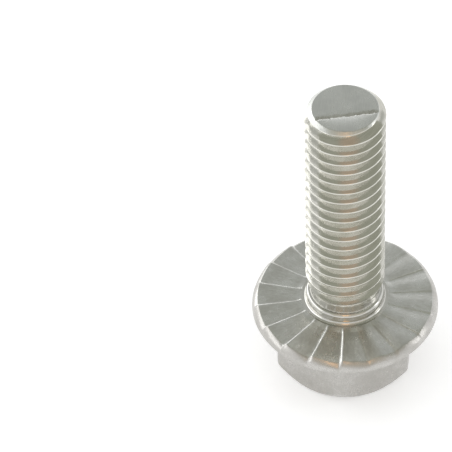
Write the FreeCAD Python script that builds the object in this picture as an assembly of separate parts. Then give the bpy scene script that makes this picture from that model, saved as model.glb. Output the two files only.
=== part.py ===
import FreeCAD, Part
import math
import os

from FreeCAD import Vector

# Flange bolt M6 x 20 with a serrated flange, forged and rolled from one piece of stainless wire.
# The origin is the centre of the head's end face, +Z runs up the shank to the tip, and +X is
# square to one flat of the hexagon. Lengths are in millimetres and angles in degrees.

# Hexagon head, whose end face stays inside the flats by the inset
across_flats = 10.0
head_height = 6.3
corner_rounding = 0.3
end_face_inset = 0.15
end_chamfer_angle = 30.0
flat_root_fillet = 0.25

# Flange, which stands out past the hexagon's corners by the ledge and has a rounded rim
flange_ledge = 1.37
flange_edge_thickness = 1.15
flange_cone_angle = 25.0
rim_rounding = 0.35

# Serrations, a ratchet of plane ramps that bites against loosening
tooth_count = 18
tooth_height = 0.3
tooth_phase = 10.8
land_width = 0.1

# Shank under the head: the neck is below the thread's crests, the collar stands out from the neck
shank_length = 20.0
under_head_fillet = 0.25
collar_height = 0.9
collar_step = 0.31
neck_depth = 0.34
neck_length = 0.55

# Thread blank, at the thread's major diameter
thread_diameter = 6.0
thread_fade_length = 1.05

# Tip, chamfered by this much all round
tip_chamfer = 0.56
tip_chamfer_angle = 45.0

# Cutting tools reach this far past what they cut
overshoot = 0.5


def tangent(angle):
    """Tangent of an angle in degrees."""
    return math.tan(math.radians(angle))


def on_ray(radius, angle, height):
    """Point at a radius from the axis, at an angle from +X and at a height."""
    turn = math.radians(angle)
    return Vector(radius * math.cos(turn), radius * math.sin(turn), height)


def line(start, end):
    """Straight edge of an outline, given as (radius, height) pairs."""
    return Part.LineSegment(Vector(start[0], 0, start[1]), Vector(end[0], 0, end[1])).toShape()


def arc(start, middle, end):
    """Arc edge of an outline through three (radius, height) pairs."""
    corners = [Vector(radius, 0, height) for radius, height in (start, middle, end)]
    return Part.Arc(*corners).toShape()


def on_circle(centre, radius, angle):
    """Pair (radius, height) on a circle of an outline, at an angle up from the outward way."""
    turn = math.radians(angle)
    return (centre[0] + radius * math.cos(turn), centre[1] + radius * math.sin(turn))


def turned(edges):
    """Solid turned about the axis from a closed outline in the XZ plane."""
    outline = Part.Face(Part.Wire(edges))
    return outline.revolve(Vector(0, 0, 0), Vector(0, 0, 1), 360)


def sharp_corner_radius():
    """Distance from the axis to the hexagon's corners before they are rounded."""
    return across_flats / math.sqrt(3)


def flange_radius():
    """Outer radius of the flange, at the middle of its rounded rim."""
    rounded_corner_radius = sharp_corner_radius() - corner_rounding * (2 / math.sqrt(3) - 1)
    return rounded_corner_radius + flange_ledge


def flange():
    """Flange blank: plane bearing face, rounded rim and cone towards the hexagon."""
    edge_radius = flange_radius() - rim_rounding
    edge_height = head_height - flange_edge_thickness
    core_radius = across_flats / 2 - corner_rounding
    core_height = edge_height - (edge_radius - core_radius) * tangent(flange_cone_angle)
    face_edge = (edge_radius, head_height)
    crown = (flange_radius(), head_height - flange_edge_thickness / 2)
    cone_edge = (edge_radius, edge_height)
    core_edge = (core_radius, core_height)
    return turned([
        line((0, head_height), face_edge),
        arc(face_edge, crown, cone_edge),
        line(cone_edge, core_edge),
        line(core_edge, (0, core_height)),
        line((0, core_height), (0, head_height)),
    ])


def serrations():
    """Wedges that leave the ramps: each ramp is highest at its step and falls to the next one."""
    pitch_angle = 360 / tooth_count
    reach = flange_radius() + overshoot
    fall = tooth_height * reach / (flange_radius() - rim_rounding)
    wedges = []
    for tooth in range(tooth_count):
        step_angle = tooth_phase + tooth * pitch_angle
        centre = Vector(0, 0, head_height)
        high = on_ray(reach, step_angle, head_height)
        low = on_ray(reach, step_angle + pitch_angle, head_height - fall)
        ramp = Part.Face(Part.makePolygon([centre, high, low, centre]))
        wedges.append(ramp.extrude(Vector(0, 0, fall + overshoot)))
    return wedges


def hexagon():
    """Hexagon with rounded corners, chamfered at its end face, reaching into the flange's cone."""
    corners = [on_ray(sharp_corner_radius(), 30 + 60 * corner, 0) for corner in range(6)]
    outline = Part.Face(Part.makePolygon(corners + corners[:1]))
    prism = outline.extrude(Vector(0, 0, head_height - flange_edge_thickness))
    upright = [edge for edge in prism.Edges if abs(edge.tangentAt(edge.FirstParameter).z) > 0.5]
    prism = prism.makeFillet(corner_rounding, upright)
    end_radius = across_flats / 2 - end_face_inset
    outer_radius = sharp_corner_radius() + overshoot
    outer_height = (outer_radius - end_radius) * tangent(end_chamfer_angle)
    envelope = turned([
        line((0, 0), (end_radius, 0)),
        line((end_radius, 0), (outer_radius, outer_height)),
        line((outer_radius, outer_height), (outer_radius, head_height)),
        line((outer_radius, head_height), (0, head_height)),
        line((0, head_height), (0, 0)),
    ])
    return prism.common(envelope)


def shank():
    """Shank with the land inside the serrations, fillet, collar, neck, thread blank and tip."""
    thread_radius = thread_diameter / 2
    neck_radius = thread_radius - neck_depth
    collar_radius = neck_radius + collar_step
    land_radius = collar_radius + under_head_fillet + land_width
    tip_radius = thread_radius - tip_chamfer
    foot = head_height - flange_edge_thickness
    collar_top = head_height + collar_height
    neck_top = collar_top + neck_length
    thread_start = neck_top + thread_fade_length
    end = head_height + shank_length
    chamfer_start = end - tip_chamfer * tangent(tip_chamfer_angle)
    fillet_centre = (collar_radius + under_head_fillet, head_height + under_head_fillet)
    fillet_edge = (fillet_centre[0], head_height)
    fillet_middle = on_circle(fillet_centre, under_head_fillet, 225)
    fillet_top = (collar_radius, fillet_centre[1])
    shoulder_centre = (neck_radius, collar_top - collar_step)
    shoulder_edge = (collar_radius, shoulder_centre[1])
    shoulder_middle = on_circle(shoulder_centre, collar_step, 45)
    shoulder_top = (neck_radius, collar_top)
    return turned([
        line((0, foot), (land_radius, foot)),
        line((land_radius, foot), (land_radius, head_height)),
        line((land_radius, head_height), fillet_edge),
        arc(fillet_edge, fillet_middle, fillet_top),
        line(fillet_top, shoulder_edge),
        arc(shoulder_edge, shoulder_middle, shoulder_top),
        line(shoulder_top, (neck_radius, neck_top)),
        line((neck_radius, neck_top), (thread_radius, thread_start)),
        line((thread_radius, thread_start), (thread_radius, chamfer_start)),
        line((thread_radius, chamfer_start), (tip_radius, end)),
        line((tip_radius, end), (0, end)),
        line((0, end), (0, foot)),
    ])


def head_blank():
    """Hexagon on its flange, with a fillet where the flats and corners meet the flange's cone."""
    blank = hexagon().fuse(flange()).removeSplitter()
    cones = [face for face in blank.Faces if face.Surface.TypeId == "Part::GeomCone"]
    flange_cone = max(cones, key=lambda face: face.BoundBox.ZMax)
    seam_and_rim = ("Part::GeomLine", "Part::GeomCircle")
    root = [edge for edge in flange_cone.Edges if edge.Curve.TypeId not in seam_and_rim]
    return blank.makeFillet(flat_root_fillet, root)


def flange_bolt():
    """Bolt in one solid."""
    head = head_blank().cut(serrations())
    return head.fuse(shank()).removeSplitter()


os.makedirs("parts", exist_ok=True)
flange_bolt().exportStep("parts/flange_bolt.step")
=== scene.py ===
"""Stainless M6 x 20 flange bolt with a serrated flange, standing on its head in a pale studio.

The bolt is drawn in millimetres: the origin is the centre of the head's end face and +Z runs up
the shank. The finished piece is brought to metres as its last step.
"""

import logging
import math
import random
from collections.abc import Callable
from dataclasses import dataclass, field
from enum import Enum

import bmesh
import bpy
from mathutils import Matrix, Vector


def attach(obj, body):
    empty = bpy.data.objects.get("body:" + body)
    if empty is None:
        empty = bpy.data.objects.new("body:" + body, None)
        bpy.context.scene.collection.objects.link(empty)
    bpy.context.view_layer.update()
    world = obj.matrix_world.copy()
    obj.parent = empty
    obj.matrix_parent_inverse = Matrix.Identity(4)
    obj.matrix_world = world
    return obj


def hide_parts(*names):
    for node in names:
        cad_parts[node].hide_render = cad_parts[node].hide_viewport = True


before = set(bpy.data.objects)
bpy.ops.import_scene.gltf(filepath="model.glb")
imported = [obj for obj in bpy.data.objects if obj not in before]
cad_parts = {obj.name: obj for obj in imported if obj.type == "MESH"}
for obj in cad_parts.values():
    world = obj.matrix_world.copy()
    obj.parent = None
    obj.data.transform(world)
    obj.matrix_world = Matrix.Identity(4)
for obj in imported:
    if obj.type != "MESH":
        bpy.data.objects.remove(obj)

log = logging.getLogger("flange_bolt")

MM = 0.001
FULL_TURN = 2.0 * math.pi
BODY = "root"
NODE = "flange_bolt"

# Distances in millimetres within which points are merged, on the thread and on what bounds it
FINE_WELD = 0.0001
WELD = 0.001

# Numbers that keep the geometry sound where runs are short or corners are nearly straight
TINY = 1e-6
NEARLY_STRAIGHT = 1e-4
MOST_OF_HALF = 0.48

# Upward part of a direction, from which on a card or lamp hangs nearly overhead
NEARLY_OVERHEAD = 0.9

Pair = tuple[float, float]
Way = tuple[float, float, float]
Colour = tuple[float, float, float]
Value = bpy.types.NodeSocket | float

WHITE: Colour = (1.0, 1.0, 1.0)


class Zone(Enum):
    """Zones of the bolt's skin, each with its own finish, in the order of the material slots."""

    FORGED = 0
    SERRATED = 1
    TURNED = 2
    THREAD = 3
    TIP = 4
    SHEARED = 5


class Joining(Enum):
    """Ways that one closed mesh changes another."""

    CUT = "DIFFERENCE"
    JOIN = "UNION"
    TRIM = "INTERSECT"


def tangent(angle: float) -> float:
    """Tangent of an angle in degrees."""
    return math.tan(math.radians(angle))


def clear_selection() -> None:
    """Leave edit mode and deselect everything, whatever was selected before."""
    active = bpy.context.object
    if active is not None and active.mode != "OBJECT":
        bpy.ops.object.mode_set(mode="OBJECT")
    bpy.ops.object.select_all(action="DESELECT")


def make_active(thing: bpy.types.Object) -> None:
    """Select one object alone and make it the active one.

    Args:
        thing: The object that the next operators act on.
    """
    clear_selection()
    thing.select_set(True)
    bpy.context.view_layer.objects.active = thing


def apply_modifier(thing: bpy.types.Object, kind: str, **settings: object) -> None:
    """Add a modifier to an object, set it and apply it.

    Args:
        thing: The mesh object.
        kind: The modifier's type, such as SCREW.
        settings: The modifier's settings by name.
    """
    make_active(thing)
    modifier = thing.modifiers.new(kind.lower(), kind)
    for name, value in settings.items():
        setattr(modifier, name, value)
    bpy.ops.object.modifier_apply(modifier=modifier.name)


def combine(thing: bpy.types.Object, tool: bpy.types.Object, joining: Joining) -> None:
    """Change a closed mesh by another one and remove that one.

    Args:
        thing: The mesh that stays.
        tool: The mesh that cuts, joins or bounds it.
        joining: Which of these it does.
    """
    apply_modifier(thing, "BOOLEAN", object=tool, operation=joining.value, solver="EXACT")
    bpy.data.objects.remove(tool, do_unlink=True)


def draw_outline(name: str, points: list[Pair]) -> bpy.types.Object:
    """Draw a chain of edges in the XZ plane, point by point, and stay in edit mode.

    Args:
        name: The new object's name.
        points: Pairs of radius and height in millimetres.

    Returns:
        The object, in edit mode with its last point selected.
    """
    clear_selection()
    radius, height = points[0]
    bpy.ops.mesh.primitive_plane_add(size=1.0, location=(radius, 0.0, height))
    outline = bpy.context.object
    outline.name = name
    bpy.ops.object.transform_apply(location=True, rotation=False, scale=False)
    bpy.ops.object.mode_set(mode="EDIT")
    bpy.ops.mesh.select_all(action="SELECT")
    bpy.ops.mesh.merge(type="CENTER")
    for start, end in zip(points, points[1:]):
        step = (end[0] - start[0], 0.0, end[1] - start[1])
        bpy.ops.mesh.extrude_vertices_move(TRANSFORM_OT_translate={"value": step})
    return outline


def weld_and_face_out(weld: float) -> None:
    """Merge doubles and turn the normals outwards on the mesh in edit mode.

    Args:
        weld: Points closer than this, in millimetres, become one.
    """
    bpy.ops.mesh.select_all(action="SELECT")
    bpy.ops.mesh.remove_doubles(threshold=weld)
    bpy.ops.mesh.normals_make_consistent(inside=False)
    bpy.ops.object.mode_set(mode="OBJECT")


@dataclass(frozen=True)
class Corner:
    """Corner of an outline: its place, the rounding there and the spans to the next corner."""

    radius: float
    height: float
    rounding: float = 0.0
    bands: int = 0
    spans: int = 1

    def place(self) -> Vector:
        """The corner as a point of the outline's plane."""
        return Vector((self.radius, self.height))


def round_corner(before: Corner, corner: Corner, after: Corner) -> list[Vector]:
    """Points of a corner's rounding, which is limited by the straight runs beside it.

    Args:
        before: The corner before it.
        corner: The corner to round.
        after: The corner after it.

    Returns:
        One point if the corner stays sharp, and otherwise one more than its bands.
    """
    place = corner.place()
    if corner.bands == 0:
        return [place]
    back = before.place() - place
    ahead = after.place() - place
    room = MOST_OF_HALF * min(back.length, ahead.length)
    back.normalize()
    ahead.normalize()
    half_opening = math.acos(max(-1.0, min(1.0, back.dot(ahead)))) / 2.0
    reach = min(corner.rounding / max(math.tan(half_opening), TINY), room)
    radius = reach * math.tan(half_opening)
    middle = (back + ahead).normalized()
    centre = place + middle * (reach / max(math.cos(half_opening), TINY))
    start = place + back * reach - centre
    end = place + ahead * reach - centre
    sweep = math.pi - 2.0 * half_opening
    points = []
    for band in range(corner.bands + 1):
        share = band / corner.bands
        if sweep < NEARLY_STRAIGHT:
            points.append(centre + start.lerp(end, share))
            continue
        first = start * math.sin((1.0 - share) * sweep)
        last = end * math.sin(share * sweep)
        points.append(centre + ((first + last) / math.sin(sweep)).normalized() * radius)
    return points


def rounded_outline(corners: list[Corner]) -> list[Pair]:
    """Outline through corners, with their roundings and the spans between them.

    Args:
        corners: The corners in order. The first and the last stay sharp.

    Returns:
        Pairs of radius and height, as many for each list of corners of the same make.
    """
    runs = [[corners[0].place()]]
    for before, corner, after in zip(corners, corners[1:], corners[2:]):
        runs.append(round_corner(before, corner, after))
    runs.append([corners[-1].place()])
    points = []
    for run, following, corner in zip(runs, runs[1:], corners):
        points.extend(run)
        for span in range(1, corner.spans):
            points.append(run[-1].lerp(following[0], span / corner.spans))
    points.extend(runs[-1])
    return [(point.x, point.y) for point in points]


def arc_points(centre: Pair, radius: float, start: float, end: float, bands: int) -> list[Pair]:
    """Points along an arc of an outline, its ends included.

    Args:
        centre: The arc's centre, as radius and height.
        radius: The arc's radius.
        start: The angle where it starts, in degrees up from the outward way.
        end: The angle where it ends.
        bands: How many straight steps it has.

    Returns:
        Pairs of radius and height.
    """
    points = []
    for band in range(bands + 1):
        angle = math.radians(start + (end - start) * band / bands)
        points.append((centre[0] + radius * math.cos(angle), centre[1] + radius * math.sin(angle)))
    return points


@dataclass
class Hexagon:
    """The hexagon's sides, seen along the axis, with rounded corners.

    Angles are in degrees. From the middle of a flat to its corner it is half_side.
    """

    across_flats: float = 10.0
    corner_rounding: float = 0.7
    first_corner: float = 30.0
    half_side: float = 30.0
    end_face_inset: float = 0.2
    end_chamfer_angle: float = 54.0

    def corner_angles(self) -> list[float]:
        """Angles of the six corners."""
        return [self.first_corner + 2.0 * self.half_side * corner for corner in range(6)]

    def radius_at(self, angle: float) -> float:
        """Measure from the axis to the sides.

        Args:
            angle: Where to measure, in degrees.

        Returns:
            The distance, to a flat or to a rounded corner.
        """
        past_flat = (angle - self.first_corner + self.half_side) % (2.0 * self.half_side)
        from_corner = abs(past_flat - self.half_side)
        from_flat = self.half_side - from_corner
        inner = self.across_flats / 2.0 - self.corner_rounding
        turn = math.atan2(inner * tangent(self.half_side), self.across_flats / 2.0)
        if math.radians(from_flat) <= turn:
            return self.across_flats / 2.0 / math.cos(math.radians(from_flat))
        centre = inner / math.cos(math.radians(self.half_side))
        along = centre * math.cos(math.radians(from_corner))
        aside = centre * math.sin(math.radians(from_corner))
        return along + math.sqrt(self.corner_rounding ** 2 - aside ** 2)

    def end_radius(self) -> float:
        """Radius of the end face at its chamfer."""
        return self.across_flats / 2.0 - self.end_face_inset

    def chamfer_height(self, radius: float) -> float:
        """Height of the end chamfer at a radius."""
        return (radius - self.end_radius()) * tangent(self.end_chamfer_angle)


@dataclass
class Serrations:
    """Ratchet of plane ramps on the bearing face, each highest at its step.

    A step's crest is rounded over the crest angles past it, and its root over the root angles
    before it, both in degrees. Wear makes these roundings wider, on a fully worn step by most_wear
    times, and a crest's rounding also deeper, by wear_depth for each of those times. A step's
    angle from the worn side says how worn it is: the wear begins where the cosine of that angle
    is wear_start, and is full from wear_full on.
    """

    count: int = 18
    height: float = 0.3
    phase: float = 10.8
    crest_angles: tuple[float, ...] = (0.0, 0.65, 1.3, 1.9, 2.4)
    crest_drops: tuple[float, ...] = (0.19, 0.105, 0.045, 0.01, 0.0)
    root_angles: tuple[float, ...] = (0.12, 0.3, 0.55, 0.9)
    root_lifts: tuple[float, ...] = (0.09, 0.04, 0.012, 0.0)
    ramp_columns: int = 16
    worn_side: float = 0.0
    wear_start: float = 0.02
    wear_full: float = 0.42
    most_wear: float = 3.4
    wear_depth: float = 0.02

    def pitch(self) -> float:
        """Angle from one step to the next, in degrees."""
        return 360.0 / self.count

    def wear(self, step_angle: float) -> float:
        """Tell how worn a step is.

        Args:
            step_angle: The step's angle in degrees.

        Returns:
            How many times wider than on a crisp step its roundings are.
        """
        towards = math.cos(math.radians(step_angle - self.worn_side))
        share = (towards - self.wear_start) / (self.wear_full - self.wear_start)
        return 1.0 + self.most_wear * max(0.0, min(1.0, share))

    def columns(self, step_angle: float) -> list[float]:
        """List where the face needs a column of points, for one tooth from its step on.

        Args:
            step_angle: The step's angle in degrees.

        Returns:
            Angles from the step, in degrees.
        """
        pitch = self.pitch()
        crest = [offset * self.wear(step_angle) for offset in self.crest_angles]
        root = [pitch - offset * self.wear(step_angle + pitch) for offset in reversed(self.root_angles)]
        step = (root[0] - crest[-1]) / (self.ramp_columns + 1)
        run = [crest[-1] + step * (index + 1) for index in range(self.ramp_columns)]
        return [*crest, *run, *root]

    def drop(self, angle: float) -> float:
        """Measure the face's depth under the bearing plane at the flange's edge.

        Args:
            angle: Where to measure, in degrees.

        Returns:
            The depth in millimetres.
        """
        pitch = self.pitch()
        offset = (angle - self.phase + TINY) % pitch
        wear = self.wear(angle - offset)
        next_wear = self.wear(angle - offset + pitch)
        ramp = self.height * math.sin(math.radians(offset)) / math.sin(math.radians(pitch))
        crest = self.along(offset / wear, self.crest_angles, self.crest_drops)
        root = self.along((pitch - offset) / next_wear, self.root_angles, self.root_lifts)
        return ramp + crest * (1.0 + self.wear_depth * (wear - 1.0)) - root

    @staticmethod
    def along(offset: float, places: tuple[float, ...], values: tuple[float, ...]) -> float:
        """Read a value off a chain of points.

        Args:
            offset: Where to read it.
            places: The points' places, rising.
            values: The values there.

        Returns:
            The value between two points, or 0 past the last one.
        """
        for start, end, first, last in zip(places, places[1:], values, values[1:]):
            if offset <= end:
                return first + (last - first) * (offset - start) / (end - start)
        return 0.0


@dataclass
class Head:
    """Hexagon, flange, serrations, collar and neck, drawn up ring by ring from the end face.

    Its core reaches up into the thread, where the two are joined.
    """

    hexagon: Hexagon = field(default_factory=Hexagon)
    serrations: Serrations = field(default_factory=Serrations)
    height: float = 6.3
    flange_radius: float = 7.097
    rim_rounding: float = 0.35
    face_inset: float = 0.44
    crown_depth: float = 0.92
    crown_foot: float = 70.0
    rim_sweep: float = 30.0
    face_edge_rounding: float = 0.12
    edge_thickness: float = 1.15
    lower_bands: int = 7
    upper_bands: int = 8
    cone_angle: float = 25.0
    cone_edge_rounding: float = 0.07
    root_fillet: float = 0.25
    chamfer_rounding: float = 0.3
    end_face_rounding: float = 0.35
    end_face_ring: float = 4.2
    land_radius: float = 3.33
    land_slope: float = 0.42
    land_rounding: float = 0.2
    land_foot_rounding: float = 0.6
    under_head_fillet: float = 0.25
    collar_radius: float = 2.97
    collar_height: float = 0.9
    neck_radius: float = 2.66
    neck_length: float = 0.55
    neck_rounding: float = 0.06
    collar_bands: int = 8
    core_radius: float = 2.3
    core_reach: float = 1.2
    corner_columns: int = 4
    corner_column_gap: float = 0.5
    least_column_gap: float = 0.14

    def column_angles(self) -> list[float]:
        """List the columns of points: those of the teeth, and more at the hexagon's corners.

        Returns:
            Their angles in degrees, rising.
        """
        angles = []
        for tooth in range(self.serrations.count):
            step = self.serrations.phase + tooth * self.serrations.pitch()
            angles.extend((step + offset) % 360.0 for offset in self.serrations.columns(step))
        teeth = list(angles)
        for corner in self.hexagon.corner_angles():
            for column in range(-self.corner_columns, self.corner_columns + 1):
                angle = (corner + self.corner_column_gap * column) % 360.0
                if min(abs(angle - other) for other in teeth) > self.least_column_gap:
                    angles.append(angle)
        return sorted(angles)

    def rim_arc(self, drop: float) -> list[Pair]:
        """Draw the rounded rim, from the cone's edge over the crown to the ramp's edge.

        Args:
            drop: Depth of the ramp at the flange's edge.

        Returns:
            Pairs of radius and height.
        """
        crown = self.height - self.crown_depth
        inner = self.flange_radius - self.rim_rounding
        squash = (self.edge_thickness - self.crown_depth) / self.rim_rounding
        lower = arc_points((inner, 0.0), self.rim_rounding, -self.crown_foot, 0.0, self.lower_bands)
        points = [(radius, crown + height * squash) for radius, height in lower]
        edge_radius = self.flange_radius - self.face_inset
        edge_height = self.height - drop * edge_radius / (self.flange_radius - self.rim_rounding)
        sweep = math.radians(self.rim_sweep)
        width = self.face_inset / (1.0 - math.cos(sweep))
        rise = (edge_height - crown) / math.sin(sweep)
        for band in range(1, self.upper_bands + 1):
            turn = sweep * band / self.upper_bands
            inset = width * (1.0 - math.cos(turn))
            points.append((self.flange_radius - inset, crown + rise * math.sin(turn)))
        return points

    def profile(self, angle: float) -> list[Pair]:
        """Draw the head's outline at one angle, from the end face up to the core in the thread.

        Args:
            angle: The column's angle in degrees.

        Returns:
            Pairs of radius and height in millimetres.
        """
        side = self.hexagon.radius_at(angle)
        edge_radius = self.flange_radius - self.rim_rounding
        foot = self.height - self.edge_thickness - (edge_radius - side) * tangent(self.cone_angle)
        drop = self.serrations.drop(angle)
        rim = self.rim_arc(drop)
        slope = drop / edge_radius
        land_foot = self.land_radius + self.land_slope
        collar_top = self.height + self.collar_height
        neck_top = collar_top + self.neck_length
        shoulder = self.collar_radius - self.neck_radius
        fillet_radius = self.under_head_fillet
        fillet_centre = (self.collar_radius + fillet_radius, self.height + fillet_radius)
        chamfer = self.hexagon.chamfer_height(side)
        corners = [
            Corner(self.end_face_ring, 0.0),
            Corner(self.hexagon.end_radius(), 0.0, self.end_face_rounding, bands=6, spans=4),
            Corner(side, chamfer, self.chamfer_rounding, bands=6, spans=3),
            Corner(side, foot, self.root_fillet, bands=7, spans=2),
            Corner(*rim[0], self.cone_edge_rounding, bands=3),
        ]
        corners.extend(Corner(*point) for point in rim[1:-1])
        corners.append(Corner(*rim[-1], self.face_edge_rounding, bands=3, spans=4))
        ramp_end = self.height - slope * land_foot
        corners.append(Corner(land_foot, ramp_end, self.land_foot_rounding, bands=4))
        corners.append(Corner(self.land_radius, self.height, self.land_rounding, bands=2))
        fillet = arc_points(fillet_centre, fillet_radius, 270.0, 180.0, self.collar_bands)
        corners.extend(Corner(*point) for point in fillet)
        arc_centre = (self.neck_radius, collar_top - shoulder)
        arc = arc_points(arc_centre, shoulder, 0.0, 90.0, self.collar_bands)
        corners.extend(Corner(*point) for point in arc[:-1])
        corners.append(Corner(self.neck_radius, collar_top, self.neck_rounding, bands=3))
        corners.append(Corner(self.neck_radius, neck_top))
        corners.append(Corner(self.core_radius, neck_top + self.core_reach))
        return rounded_outline(corners)

    def build(self) -> bpy.types.Object:
        """Draw the head up from the ring inside its end face.

        Returns:
            The closed head.
        """
        angles = self.column_angles()
        profiles = [self.profile(angle) for angle in angles]
        clear_selection()
        bpy.ops.mesh.primitive_circle_add(vertices=len(angles), radius=self.end_face_ring)
        head = bpy.context.object
        head.name = "head"
        bpy.ops.object.mode_set(mode="EDIT")
        bpy.ops.mesh.select_all(action="SELECT")
        self.place_ring(head, angles, [profile[0] for profile in profiles])
        for row in range(1, len(profiles[0])):
            bpy.ops.mesh.extrude_edges_move()
            self.place_ring(head, angles, [profile[row] for profile in profiles])
        bpy.ops.mesh.edge_face_add()
        bpy.ops.mesh.select_all(action="DESELECT")
        self.choose_open_edges(head)
        bpy.ops.mesh.edge_face_add()
        bpy.ops.mesh.select_all(action="SELECT")
        bpy.ops.mesh.normals_make_consistent(inside=False)
        bpy.ops.object.mode_set(mode="OBJECT")
        return head

    @staticmethod
    def choose_open_edges(head: bpy.types.Object) -> None:
        """Select the edges that have a face on one side only.

        Args:
            head: The head, in edit mode.
        """
        mesh = bmesh.from_edit_mesh(head.data)
        for edge in mesh.edges:
            if edge.is_boundary:
                edge.select = True
        mesh.select_flush(True)
        bmesh.update_edit_mesh(head.data)

    @staticmethod
    def place_ring(head: bpy.types.Object, angles: list[float], ring: list[Pair]) -> None:
        """Put the selected ring's points in their places, column by column.

        Args:
            head: The head, in edit mode.
            angles: The columns' angles in degrees, rising.
            ring: Radius and height for each column.
        """
        mesh = bmesh.from_edit_mesh(head.data)
        selected = [vertex for vertex in mesh.verts if vertex.select]
        selected.sort(key=lambda vertex: math.atan2(vertex.co.y, vertex.co.x) % FULL_TURN)
        for vertex, angle, (radius, height) in zip(selected, angles, ring, strict=True):
            turn = math.radians(angle)
            vertex.co = (radius * math.cos(turn), radius * math.sin(turn), height)
        bmesh.update_edit_mesh(head.data)


@dataclass
class Thread:
    """Rolled right-hand thread with rounded roots and crests, its run-out and the chamfered tip."""

    radius: float = 3.0
    pitch: float = 1.0
    depth: float = 0.6134
    root_rounding: float = 0.1443
    crest_rounding: float = 0.05
    bands: int = 3
    crest_flat: float = 0.125
    flank_angle: float = 30.0
    root_phase: float = 6.097
    turns: int = 21
    steps: int = 128
    start: float = 7.75
    fade_length: float = 1.05
    neck_radius: float = 2.66
    end: float = 26.3
    tip_radius: float = 2.44
    tip_rounding: float = 0.07
    clearance: float = 0.45
    foot: float = 7.3
    overlap: float = 0.06

    def outline(self) -> list[Pair]:
        """Draw one pitch of the thread's section.

        Returns:
            Pairs of radius and height, from root to root.
        """
        half = self.pitch / 2.0
        crest = self.crest_flat * self.pitch / 2.0
        rounding = self.root_rounding
        middle = self.radius - self.depth + rounding
        turn = 90.0 + self.flank_angle
        lower = arc_points((middle, 0.0), rounding, 180.0, turn, self.bands)
        upper = arc_points((middle, self.pitch), rounding, 360.0 - turn, 180.0, self.bands)
        flank = [
            Corner(*lower[-1], spans=2),
            Corner(self.radius, half - crest, self.crest_rounding, self.bands),
            Corner(self.radius, half + crest, self.crest_rounding, self.bands, spans=2),
            Corner(*upper[0]),
        ]
        return lower[:-1] + rounded_outline(flank) + upper[1:]

    def rod(self) -> bpy.types.Object:
        """Closed threaded rod, longer than the bolt's thread at both ends.

        Returns:
            The rod.
        """
        points = [(radius, height + self.root_phase) for radius, height in self.outline()]
        rod = draw_outline("thread", points)
        bpy.ops.object.mode_set(mode="OBJECT")
        apply_modifier(
            rod,
            "SCREW",
            axis="Z",
            angle=FULL_TURN,
            screw_offset=self.pitch,
            iterations=self.turns,
            steps=self.steps,
            render_steps=self.steps,
        )
        middle = self.root_phase + self.turns * self.pitch / 2.0
        bpy.ops.object.mode_set(mode="EDIT")
        bpy.ops.mesh.select_all(action="SELECT")
        bpy.ops.mesh.remove_doubles(threshold=FINE_WELD)
        self.close_end(rod, lambda height: height < middle)
        self.close_end(rod, lambda height: height > middle)
        weld_and_face_out(FINE_WELD)
        return rod

    @staticmethod
    def close_end(rod: bpy.types.Object, chosen: Callable[[float], bool]) -> None:
        """Draw the open edge of one end together in one point.

        Args:
            rod: The rod, in edit mode.
            chosen: Says by a point's height whether it is at that end.
        """
        bpy.ops.mesh.select_all(action="DESELECT")
        mesh = bmesh.from_edit_mesh(rod.data)
        for edge in mesh.edges:
            if edge.is_boundary and chosen(edge.verts[0].co.z):
                edge.select = True
        mesh.select_flush(True)
        bmesh.update_edit_mesh(rod.data)
        bpy.ops.mesh.extrude_edges_move()
        bpy.ops.mesh.merge(type="CENTER")

    def envelope(self) -> bpy.types.Object:
        """Turn the bound of the thread: its run-out cone, its clear length and the chamfered tip.

        Returns:
            The closed bound.
        """
        outer = self.radius + self.clearance
        fade = self.fade_length / (self.radius - self.neck_radius)
        start = self.start - self.overlap
        foot_radius = self.neck_radius - (start - self.foot) / fade
        corners = [
            Corner(0.0, self.foot),
            Corner(foot_radius, self.foot),
            Corner(outer, start + (outer - self.neck_radius) * fade),
            Corner(outer, self.end - (outer - self.tip_radius)),
            Corner(self.tip_radius, self.end, self.tip_rounding, bands=4),
            Corner(0.0, self.end),
        ]
        envelope = draw_outline("envelope", rounded_outline(corners))
        half_step = math.pi / self.steps
        bpy.ops.mesh.select_all(action="SELECT")
        bpy.ops.transform.rotate(value=half_step, orient_axis="Z", center_override=(0.0, 0.0, 0.0))
        bpy.ops.mesh.spin(steps=self.steps, angle=FULL_TURN, center=(0.0, 0.0, 0.0), axis=(0.0, 0.0, 1.0))
        weld_and_face_out(WELD)
        return envelope

    def build(self) -> bpy.types.Object:
        """Cut the threaded rod to its envelope.

        Returns:
            The closed thread with its tip.
        """
        rod = self.rod()
        combine(rod, self.envelope(), Joining.TRIM)
        return rod


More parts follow.
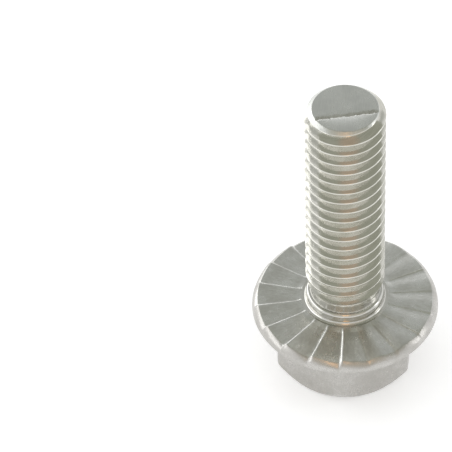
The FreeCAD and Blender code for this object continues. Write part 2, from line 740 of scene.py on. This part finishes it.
@dataclass
class ShearMark:
    """Shallow lopsided groove that the shears left straight over the tip's end face.

    Its section runs from the front over the lip and the bottom to the back, as offsets from its
    own line. On its way it strays by the sway to the sides, and by the heave up and down.
    """

    turn: float = 104.1
    offset: float = -0.78
    front: float = -0.2
    lip: float = -0.035
    lip_depth: float = 0.04
    back: float = 0.34
    depth: float = 0.062
    overshoot: float = 0.03
    length: float = 6.0
    steps: int = 48
    sway: float = 0.05
    heave: float = 0.016
    seed: int = 48

    def cutter(self, height: float) -> bpy.types.Object:
        """Make the bar that the groove is cut with.

        Args:
            height: Height of the end face.

        Returns:
            The closed bar.
        """
        top = height + self.overshoot
        outline = [
            (self.offset + self.front, top),
            (self.offset + self.lip, height - self.lip_depth),
            (self.offset, height - self.depth),
            (self.offset + self.back, top),
        ]
        bar = draw_outline("shear_mark", outline)
        bpy.ops.mesh.select_all(action="SELECT")
        bpy.ops.mesh.edge_face_add()
        bpy.ops.transform.translate(value=(0.0, -self.length / 2.0, 0.0))
        chance = random.Random(self.seed)
        place = Vector((0.0, 0.0, 0.0))
        for step in range(1, self.steps + 1):
            sway = chance.uniform(-self.sway, self.sway)
            heave = chance.uniform(-self.heave, self.heave)
            target = Vector((sway, self.length * step / self.steps, heave))
            bpy.ops.mesh.extrude_region_move(TRANSFORM_OT_translate={"value": target - place})
            place = target
        bpy.ops.mesh.select_all(action="SELECT")
        bpy.ops.mesh.normals_make_consistent(inside=False)
        bpy.ops.object.mode_set(mode="OBJECT")
        bar.rotation_euler.z = math.radians(self.turn)
        bpy.ops.object.transform_apply(location=True, rotation=True, scale=True)
        return bar


@dataclass
class Bolt:
    """The whole bolt in one skin, dressed zone by zone.

    The margins, in millimetres, and the least upward parts of a face's normal tell the zones apart.
    """

    head: Head = field(default_factory=Head)
    thread: Thread = field(default_factory=Thread)
    shear_mark: ShearMark = field(default_factory=ShearMark)
    smooth_angle: float = 30.0
    normal_weight: int = 50
    tip_margin: float = 0.3
    tip_facing: float = 0.6
    tip_edge_margin: float = 0.05
    mark_margin: float = 0.002
    mark_facing: float = 0.9
    land_margin: float = 0.01
    ramp_margin: float = 0.4
    ramp_facing: float = 0.8
    rim_margin: float = 0.2

    def build(self) -> bpy.types.Object:
        """Model the bolt and bring it to metres.

        Returns:
            The finished piece.
        """
        bolt = self.head.build()
        log.info("head: %d faces", len(bolt.data.polygons))
        thread = self.thread.build()
        log.info("thread: %d faces", len(thread.data.polygons))
        combine(bolt, thread, Joining.JOIN)
        combine(bolt, self.shear_mark.cutter(self.thread.end), Joining.CUT)
        bolt.name = "flange_bolt_body"
        bolt.data.name = bolt.name
        self.dress(bolt)
        make_active(bolt)
        bpy.ops.transform.resize(value=(MM, MM, MM), center_override=(0.0, 0.0, 0.0))
        bpy.ops.object.transform_apply(location=True, rotation=True, scale=True)
        bpy.ops.object.shade_smooth_by_angle(angle=math.radians(self.smooth_angle))
        apply_modifier(bolt, "WEIGHTED_NORMAL", keep_sharp=True, weight=self.normal_weight)
        log.info("bolt: %d faces", len(bolt.data.polygons))
        return bolt

    def dress(self, bolt: bpy.types.Object) -> None:
        """Give each zone of the skin its finish.

        Args:
            bolt: The bolt, in millimetres.
        """
        for zone in Zone:
            bolt.data.materials.append(FINISHES[zone].make(f"steel_{zone.name.lower()}"))
        for face in bolt.data.polygons:
            face.material_index = self.zone_of(face.center, face.normal).value

    def zone_of(self, place: Vector, normal: Vector) -> Zone:
        """Find the zone of the skin that a face belongs to.

        Args:
            place: The face's centre in millimetres.
            normal: The face's normal.

        Returns:
            The zone.
        """
        head, thread = self.head, self.thread
        radius = math.hypot(place.x, place.y)
        if place.z > thread.end - self.tip_margin and normal.z > self.tip_facing:
            inside = radius < thread.tip_radius - self.tip_edge_margin
            sunk = place.z < thread.end - self.mark_margin
            return Zone.SHEARED if inside and sunk and normal.z > self.mark_facing else Zone.TIP
        if place.z > thread.start:
            return Zone.THREAD
        if place.z > head.height - self.land_margin and radius < head.land_radius:
            return Zone.TURNED
        if place.z > head.height - self.ramp_margin and radius < head.flange_radius - self.rim_margin:
            if normal.z > self.ramp_facing:
                return Zone.SERRATED
            if radius < head.flange_radius - head.face_inset:
                return Zone.TURNED
        return Zone.FORGED


@dataclass
class Board:
    """A material's node tree, with short ways to add nodes and to wire them."""

    material: bpy.types.Material
    layer_strength: float = 0.6

    def add(self, kind: str, **settings: object) -> bpy.types.Node:
        """Add a node and set it.

        Args:
            kind: The node's type.
            settings: Its settings by name.

        Returns:
            The new node.
        """
        node = self.material.node_tree.nodes.new(kind)
        for name, value in settings.items():
            setattr(node, name, value)
        return node

    def feed(self, source: Value | Vector, target: bpy.types.NodeSocket) -> None:
        """Wire a socket to an input, or write a plain value there.

        Args:
            source: The socket or the value.
            target: The input.
        """
        if isinstance(source, bpy.types.NodeSocket):
            self.material.node_tree.links.new(source, target)
        else:
            target.default_value = source

    def math(self, operation: str, first: Value, second: Value = 0.0) -> bpy.types.NodeSocket:
        """Work out a sum.

        Args:
            operation: The sum's name, such as ADD.
            first: Its first value.
            second: Its second value, where it takes two.

        Returns:
            The result's socket.
        """
        node = self.add("ShaderNodeMath", operation=operation)
        self.feed(first, node.inputs[0])
        self.feed(second, node.inputs[1])
        return node.outputs[0]

    def vector(self, x: Value, y: Value, z: Value) -> bpy.types.NodeSocket:
        """Make a vector of three values.

        Args:
            x: The first value.
            y: The second value.
            z: The third value.

        Returns:
            The vector's socket.
        """
        node = self.add("ShaderNodeCombineXYZ")
        for source, target in zip((x, y, z), node.inputs):
            self.feed(source, target)
        return node.outputs[0]

    def scaled(self, place: bpy.types.NodeSocket, size: float) -> bpy.types.NodeSocket:
        """Bring a place to units of a size.

        Args:
            place: The place's socket, in metres.
            size: The size in millimetres.

        Returns:
            The socket of the place in those units.
        """
        node = self.add("ShaderNodeVectorMath", operation="SCALE")
        self.feed(place, node.inputs[0])
        node.inputs["Scale"].default_value = 1.0 / (size * MM)
        return node.outputs[0]

    def noise(self, place: bpy.types.NodeSocket, detail: float) -> bpy.types.NodeSocket:
        """Make noise at a place that is already in units of its features.

        Args:
            place: The place's socket.
            detail: How many finer layers it has.

        Returns:
            The socket of values around a half.
        """
        node = self.add("ShaderNodeTexNoise")
        self.feed(place, node.inputs["Vector"])
        node.inputs["Scale"].default_value = 1.0
        node.inputs["Detail"].default_value = detail
        node.inputs["Roughness"].default_value = self.layer_strength
        return node.outputs["Fac"]

    def spread(self, value: Value, start: Pair, end: Pair = (0.0, 1.0)) -> bpy.types.NodeSocket:
        """Carry a value from one range to another, with soft ends.

        Args:
            value: The value to read.
            start: The range that it has, low and high.
            end: The range that it gets, for the low and for the high.

        Returns:
            The new value's socket.
        """
        node = self.add("ShaderNodeMapRange", interpolation_type="SMOOTHSTEP")
        for source, target in zip((value, *start, *end), node.inputs):
            self.feed(source, target)
        return node.outputs["Result"]

    def blend(self, share: Value, first: Colour, second: Colour) -> bpy.types.NodeSocket:
        """Blend two colours.

        Args:
            share: The second colour's share, from 0 to 1.
            first: The first colour.
            second: The second colour.

        Returns:
            The blend's socket.
        """
        node = self.add("ShaderNodeMix", data_type="RGBA")
        self.feed(share, node.inputs["Factor"])
        node.inputs["A"].default_value = (*first, 1.0)
        node.inputs["B"].default_value = (*second, 1.0)
        return next(socket for socket in node.outputs if socket.type == "RGBA")

    def bump(
        self,
        height: bpy.types.NodeSocket,
        depth: float,
        normal: bpy.types.NodeSocket | None = None,
    ) -> bpy.types.NodeSocket:
        """Bend the normal by a height.

        Args:
            height: The socket of the height.
            depth: Depth in millimetres of a height of one.
            normal: The normal that is bent further, where there is one.

        Returns:
            The bent normal.
        """
        node = self.add("ShaderNodeBump")
        node.inputs["Strength"].default_value = 1.0
        node.inputs["Distance"].default_value = depth * MM
        self.feed(height, node.inputs["Height"])
        if normal is not None:
            self.feed(normal, node.inputs["Normal"])
        return node.outputs["Normal"]


class Grain(Enum):
    """Ways that a surface's grain runs."""

    EVEN = "even"
    ROUND = "round the axis"
    RADIAL = "out from the axis"
    ACROSS = "straight over the end"


@dataclass(frozen=True)
class Finish:
    """Bare stainless steel, as one way of working leaves it. Sizes are in millimetres.

    Grain and clouds together blend the colour with its shade, and the roughness from its first
    value, where the steel is bright, to its second. The layers say how many finer layers each
    noise has.
    """

    colour: Colour = (0.66, 0.65, 0.62)
    shade: Colour = (0.55, 0.545, 0.51)
    roughness: Pair = (0.2, 0.3)
    grain_share: float = 0.45
    colour_range: Pair = (0.34, 0.66)
    roughness_range: Pair = (0.3, 0.7)
    cloud_size: float = 1.6
    cloud_layers: float = 4.0
    grain: Grain = Grain.EVEN
    grain_width: float = 0.06
    grain_length: float = 0.06
    grain_depth: float = 0.004
    grain_layers: float = 3.0
    pit_size: float = 0.35
    pit_range: Pair = (0.3, 0.48)
    pit_depth: float = 0.004
    pit_layers: float = 2.0
    wave_size: float = 1.5
    wave_depth: float = 0.01
    wave_layers: float = 1.0
    ring_radius: float = 3.0
    axis_radius: float = 0.01
    across_turn: float = 6.5

    def make(self, name: str) -> bpy.types.Material:
        """Make the material.

        Args:
            name: The material's name.

        Returns:
            The finished material.
        """
        material = bpy.data.materials.new(name)
        material.use_nodes = True
        board = Board(material)
        shader = material.node_tree.nodes["Principled BSDF"]
        place = board.add("ShaderNodeTexCoord").outputs["Object"]
        grain = board.noise(self.grain_place(board, place), self.grain_layers)
        clouds = board.noise(board.scaled(place, self.cloud_size), self.cloud_layers)
        pits = board.noise(board.scaled(place, self.pit_size), self.pit_layers)
        waves = board.noise(board.scaled(place, self.wave_size), self.wave_layers)
        grain_part = board.math("MULTIPLY", grain, self.grain_share)
        cloud_part = board.math("MULTIPLY", clouds, 1.0 - self.grain_share)
        streaks = board.math("ADD", grain_part, cloud_part)
        bright = board.spread(streaks, self.colour_range)
        board.feed(board.blend(bright, self.shade, self.colour), shader.inputs["Base Color"])
        dull_to_bright = (self.roughness[1], self.roughness[0])
        roughness = board.spread(streaks, self.roughness_range, dull_to_bright)
        board.feed(roughness, shader.inputs["Roughness"])
        normal = board.bump(waves, self.wave_depth)
        normal = board.bump(board.spread(pits, self.pit_range), self.pit_depth, normal)
        normal = board.bump(grain, self.grain_depth, normal)
        board.feed(normal, shader.inputs["Normal"])
        shader.inputs["Metallic"].default_value = 1.0
        return material

    def grain_place(self, board: Board, place: bpy.types.NodeSocket) -> bpy.types.NodeSocket:
        """Bring a place to units of the grain, so that its features run the way that it does.

        Args:
            board: The material's node tree.
            place: The object coordinates.

        Returns:
            The socket to feed to the grain's noise.
        """
        if self.grain is Grain.EVEN:
            return board.scaled(place, self.grain_width)
        if self.grain is Grain.ACROSS:
            node = board.add("ShaderNodeMapping")
            board.feed(place, node.inputs["Vector"])
            node.inputs["Rotation"].default_value = (0.0, 0.0, -math.radians(self.across_turn))
            scale = (1.0 / self.grain_width, 1.0 / self.grain_length, 1.0 / self.grain_length)
            node.inputs["Scale"].default_value = [share / MM for share in scale]
            return node.outputs[0]
        parts = board.add("ShaderNodeSeparateXYZ")
        board.feed(place, parts.inputs[0])
        x, y, z = parts.outputs
        squares = board.math("ADD", board.math("MULTIPLY", x, x), board.math("MULTIPLY", y, y))
        radius = board.math("MAXIMUM", board.math("SQRT", squares), self.axis_radius * MM)
        along = self.grain_width if self.grain is Grain.ROUND else self.grain_length
        around = self.grain_length if self.grain is Grain.ROUND else self.grain_width
        turns = self.ring_radius / around
        cosine = board.math("MULTIPLY", board.math("DIVIDE", x, radius), turns)
        sine = board.math("MULTIPLY", board.math("DIVIDE", y, radius), turns)
        step = board.math("MULTIPLY", board.math("ADD", z, radius), 1.0 / (along * MM))
        return board.vector(cosine, sine, step)


FINISHES: dict[Zone, Finish] = {
    Zone.FORGED: Finish(
        colour=(0.54, 0.53, 0.51),
        shade=(0.43, 0.42, 0.395),
        roughness=(0.24, 0.36),
        grain_width=0.09,
        grain_depth=0.006,
        pit_depth=0.006,
    ),
    Zone.SERRATED: Finish(
        colour=(0.64, 0.645, 0.62),
        shade=(0.5, 0.5, 0.47),
        roughness=(0.24, 0.38),
        grain=Grain.RADIAL,
        grain_width=0.16,
        grain_length=0.4,
        grain_depth=0.003,
        ring_radius=5.5,
    ),
    Zone.TURNED: Finish(
        roughness=(0.07, 0.13),
        grain=Grain.ROUND,
        grain_width=0.04,
        grain_length=3.0,
        grain_depth=0.001,
        pit_depth=0.001,
        wave_depth=0.006,
    ),
    Zone.THREAD: Finish(
        colour=(0.67, 0.66, 0.615),
        shade=(0.56, 0.555, 0.5),
        roughness=(0.1, 0.19),
        grain=Grain.ROUND,
        grain_width=0.045,
        grain_length=1.6,
        grain_depth=0.0013,
        pit_depth=0.002,
        wave_depth=0.007,
    ),
    Zone.SHEARED: Finish(
        colour=(0.62, 0.62, 0.59),
        shade=(0.4, 0.4, 0.37),
        cloud_size=0.5,
        roughness=(0.22, 0.45),
        grain=Grain.ACROSS,
        grain_width=0.05,
        grain_length=0.3,
        grain_depth=0.018,
    ),
    Zone.TIP: Finish(
        colour=(0.64, 0.65, 0.62),
        shade=(0.53, 0.54, 0.52),
        roughness=(0.24, 0.36),
        grain=Grain.ACROSS,
        grain_width=0.07,
        grain_length=1.1,
        grain_depth=0.004,
        pit_depth=0.002,
    ),
}


def seen_share(tree: bpy.types.NodeTree) -> bpy.types.NodeSocket:
    """Tell what the eye sees, also by way of metal or glass, from what only gives light.

    Args:
        tree: The node tree of the world or of a backdrop.

    Returns:
        The socket of a share, which is 1 for what the eye sees and otherwise 0.
    """
    rays = tree.nodes.new("ShaderNodeLightPath")
    share = rays.outputs["Is Camera Ray"]
    for kind in ("Is Glossy Ray", "Is Transmission Ray"):
        either = tree.nodes.new("ShaderNodeMath")
        either.operation = "MAXIMUM"
        tree.links.new(share, either.inputs[0])
        tree.links.new(rays.outputs[kind], either.inputs[1])
        share = either.outputs[0]
    return share


def hung(way: Way, distance: float, turn: float, towards: bool) -> Matrix:
    """Place a card or lamp so that it hangs square to its way, with its width level.

    Args:
        way: Direction from the bolt to it: to the right, away from the camera and up.
        distance: How far it hangs from the origin, in metres.
        turn: The studio's turn about the bolt in degrees.
        towards: Whether its own Z axis points at the bolt.

    Returns:
        Its matrix in the world.
    """
    out = Vector(way).normalized()
    axis = -out if towards else out
    up = Vector((0.0, 0.0, 1.0)) if abs(out.z) < NEARLY_OVERHEAD else Vector((0.0, 1.0, 0.0))
    across = up.cross(axis).normalized()
    axes = Matrix((across, axis.cross(across), axis)).transposed().to_4x4()
    return Matrix.Rotation(math.radians(turn), 4, "Z") @ Matrix.Translation(out * distance) @ axes


@dataclass(frozen=True)
class Card:
    """Card of even light or shade in the studio, which only the metal's reflections show.

    Its way is the direction from the bolt to it: to the right, away from the camera and up. Its
    sizes are in metres, and in its colour plain white is 1.
    """

    name: str
    way: Way
    width: float
    height: float
    colour: Colour
    distance: float = 0.6
    softness: float = 0.1

    def build(self, turn: float) -> None:
        """Hang the card, facing the bolt.

        Args:
            turn: The studio's turn about the bolt in degrees.
        """
        clear_selection()
        bpy.ops.mesh.primitive_plane_add(size=1.0, location=(0.0, 0.0, 0.0))
        card = bpy.context.object
        card.name = f"card_{self.name}"
        bpy.ops.transform.resize(value=(self.width, self.height, 1.0))
        bpy.ops.object.transform_apply(location=False, rotation=False, scale=True)
        card.matrix_world = hung(self.way, self.distance, turn, towards=True)
        card.data.materials.append(self.make())
        card.visible_camera = False
        card.visible_diffuse = False
        card.visible_transmission = False
        card.visible_volume_scatter = False
        card.visible_shadow = False

    def make(self) -> bpy.types.Material:
        """Make the card's even light, fading to nothing at its edges.

        Returns:
            The material.
        """
        material = bpy.data.materials.new(f"card_{self.name}")
        material.use_nodes = True
        board = Board(material)
        tree = material.node_tree
        tree.nodes.remove(tree.nodes["Principled BSDF"])
        parts = board.add("ShaderNodeSeparateXYZ")
        board.feed(board.add("ShaderNodeTexCoord").outputs["Object"], parts.inputs[0])
        masks = []
        for source, side in ((parts.outputs[0], self.width), (parts.outputs[1], self.height)):
            edge = side / 2.0
            off_middle = board.math("ABSOLUTE", source)
            masks.append(board.spread(off_middle, (edge - self.softness, edge), (1.0, 0.0)))
        mix = board.add("ShaderNodeMixShader")
        light = board.add("ShaderNodeEmission")
        light.inputs["Color"].default_value = (*self.colour, 1.0)
        board.feed(board.math("MULTIPLY", masks[0], masks[1]), mix.inputs[0])
        board.feed(board.add("ShaderNodeBsdfTransparent").outputs[0], mix.inputs[1])
        board.feed(light.outputs[0], mix.inputs[2])
        board.feed(mix.outputs[0], tree.nodes["Material Output"].inputs["Surface"])
        return material


@dataclass(frozen=True)
class Lamp:
    """Soft rectangular lamp, hung as a card is. Its radiance is 1 where it looks plain white."""

    name: str
    way: Way
    width: float
    height: float
    radiance: float
    distance: float = 0.7
    colour: Colour = WHITE

    def build(self, turn: float) -> None:
        """Hang the lamp, facing the bolt.

        Args:
            turn: The studio's turn about the bolt in degrees.
        """
        data = bpy.data.lights.new(self.name, "AREA")
        data.shape = "RECTANGLE"
        data.size = self.width
        data.size_y = self.height
        data.energy = self.radiance * math.pi * self.width * self.height
        data.color = self.colour
        lamp = bpy.data.objects.new(self.name, data)
        bpy.context.scene.collection.objects.link(lamp)
        lamp.matrix_world = hung(self.way, self.distance, turn, towards=False)


CARDS = (
    Card("rear", (0.0, 0.61, 0.78), 1.5, 0.65, (0.56, 0.57, 0.55), softness=0.16),
    Card("top", (0.1, -0.1, 0.97), 1.38, 0.75, (0.42, 0.43, 0.37), distance=0.55, softness=0.06),
    Card("front", (0.1, -0.75, 0.66), 1.1, 0.62, (0.7, 0.66, 0.58), distance=0.58),
    Card("warm_top", (0.0, -0.29, 0.96), 0.34, 0.34, (0.52, 0.43, 0.34), distance=0.5),
    Card("warm_front", (0.0, -0.72, 0.7), 0.17, 0.15, (2.6, 1.6, 0.88), distance=0.5, softness=0.05),
)
LAMPS = (
    Lamp("left_lamp", (-0.9, 0.14, 0.36), 0.9, 0.3, 1.15),
    Lamp("rear_lamp", (-0.45, 0.9, 0.1), 0.9, 0.22, 1.6),
    Lamp("right_lamp", (0.93, 0.0, 0.3), 0.16, 0.4, 1.3),
)


@dataclass
class Studio:
    """Pale floor, soft lamps and the camera at the photograph's viewing angle.

    Lengths are in metres and angles in degrees. The target is the point of the bolt's axis at its
    height, and its pixel is where the photograph shows it.
    """

    camera_turn: float = 6.5
    camera_elevation: float = 46.237
    camera_distance: float = 0.3
    camera_roll: float = 1.745
    target_height: float = 0.016
    photo_side: float = 452.0
    target_pixel: Pair = (345.615, 210.31)
    focal_pixels: float = 4031.614
    sensor: float = 36.0
    nearest: float = 0.01
    farthest: float = 20.0
    floor_side: float = 8.0
    floor_roughness: float = 0.9
    floor_specular: float = 0.2
    floor_colour: Colour = (0.98, 0.98, 0.975)
    floor_lift: float = 0.28
    world_light: float = 0.82

    def build(self) -> None:
        """Set up the floor, the lamps, the cards and the camera."""
        self.floor()
        self.world()
        for item in (*CARDS, *LAMPS):
            item.build(self.camera_turn)
            log.info("studio: %s", item.name)
        self.camera()

    def floor(self) -> None:
        """Lay the pale floor under the bolt, white to the eye where nothing shades it."""
        clear_selection()
        bpy.ops.mesh.primitive_plane_add(size=self.floor_side, location=(0.0, 0.0, 0.0))
        floor = bpy.context.object
        floor.name = "floor"
        material = bpy.data.materials.new("floor")
        material.use_nodes = True
        shader = material.node_tree.nodes["Principled BSDF"]
        shader.inputs["Base Color"].default_value = (*self.floor_colour, 1.0)
        shader.inputs["Roughness"].default_value = self.floor_roughness
        shader.inputs["Specular IOR Level"].default_value = self.floor_specular
        lift = material.node_tree.nodes.new("ShaderNodeMath")
        lift.operation = "MULTIPLY"
        lift.inputs[1].default_value = self.floor_lift
        material.node_tree.links.new(seen_share(material.node_tree), lift.inputs[0])
        material.node_tree.links.new(lift.outputs[0], shader.inputs["Emission Strength"])
        floor.data.materials.append(material)

    def world(self) -> None:
        """Light the studio evenly, and show it white to the eye and to the metal."""
        world = bpy.data.worlds.new("studio")
        bpy.context.scene.world = world
        world.use_nodes = True
        tree = world.node_tree
        lit = tree.nodes["Background"]
        lit.inputs["Color"].default_value = (*WHITE, 1.0)
        lit.inputs["Strength"].default_value = self.world_light
        seen = tree.nodes.new("ShaderNodeBackground")
        seen.inputs["Color"].default_value = (*WHITE, 1.0)
        share = seen_share(tree)
        mix = tree.nodes.new("ShaderNodeMixShader")
        tree.links.new(share, mix.inputs[0])
        tree.links.new(lit.outputs[0], mix.inputs[1])
        tree.links.new(seen.outputs[0], mix.inputs[2])
        tree.links.new(mix.outputs[0], tree.nodes["World Output"].inputs["Surface"])

    def camera(self) -> None:
        """Set the camera where the photograph was taken from."""
        elevation = math.radians(self.camera_elevation)
        forward = Vector((0.0, math.cos(elevation), -math.sin(elevation)))
        right = Vector((1.0, 0.0, 0.0))
        up = right.cross(forward)
        half = self.photo_side / 2.0
        across = (self.target_pixel[0] - half) / self.focal_pixels
        along = (half - self.target_pixel[1]) / self.focal_pixels
        sight = (forward + across * right + along * up).normalized()
        place = Vector((0.0, 0.0, self.target_height)) - self.camera_distance * sight
        roll = math.radians(self.camera_roll)
        rolled_right = math.cos(roll) * right - math.sin(roll) * up
        rolled_up = math.sin(roll) * right + math.cos(roll) * up
        axes = Matrix((rolled_right, rolled_up, -forward)).transposed().to_4x4()
        data = bpy.data.cameras.new("camera")
        data.sensor_width = self.sensor
        data.lens = self.focal_pixels * self.sensor / self.photo_side
        data.clip_start = self.nearest
        data.clip_end = self.farthest
        camera = bpy.data.objects.new("camera", data)
        bpy.context.scene.collection.objects.link(camera)
        turn = Matrix.Rotation(math.radians(self.camera_turn), 4, "Z")
        camera.matrix_world = turn @ Matrix.Translation(place) @ axes
        bpy.context.scene.camera = camera


def main() -> None:
    """Build the bolt and the studio."""
    logging.basicConfig(level=logging.INFO, format="%(name)s: %(message)s")
    bpy.context.scene.view_settings.view_transform = "Standard"
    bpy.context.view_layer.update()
    bolt = Bolt().build()
    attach(bolt, BODY)
    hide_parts(NODE)
    Studio().build()


if __name__ == "__main__":
    main()
